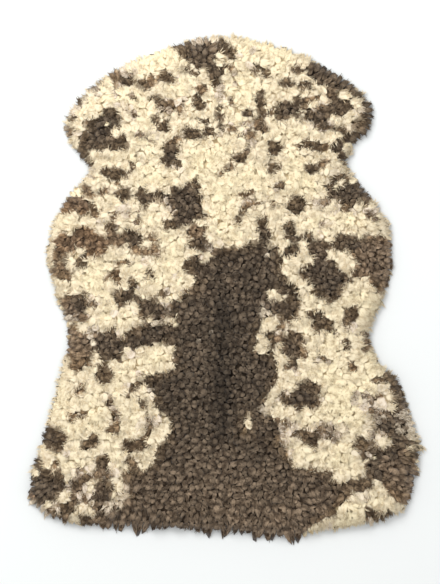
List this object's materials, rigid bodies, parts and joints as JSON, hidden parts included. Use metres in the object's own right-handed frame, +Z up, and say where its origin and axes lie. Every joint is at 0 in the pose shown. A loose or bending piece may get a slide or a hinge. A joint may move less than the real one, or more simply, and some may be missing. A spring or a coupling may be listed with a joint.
{
  "type": "curly shearling rug",
  "caption": "Flat sheepskin rug in the shape of a whole pelt, with a dense curly pile and a rim of short locks; it lies on a floor or a seat.",
  "frame": {"origin": "on the floor under the middle of the rug's box", "axes": "+Y along the backbone towards the neck, +X to the right seen from above with the neck away, +Z up out of the wool"},
  "size_m": [0.7458, 0.9636, 0.0371],
  "materials": {
    "wool": "curly undyed wool, cream with dark brown patches, matt",
    "skin": "tanned skin side, sueded, matt"
  },
  "bodies": {
    "root": {"pelt": "wool"}
  },
  "joints": []
}
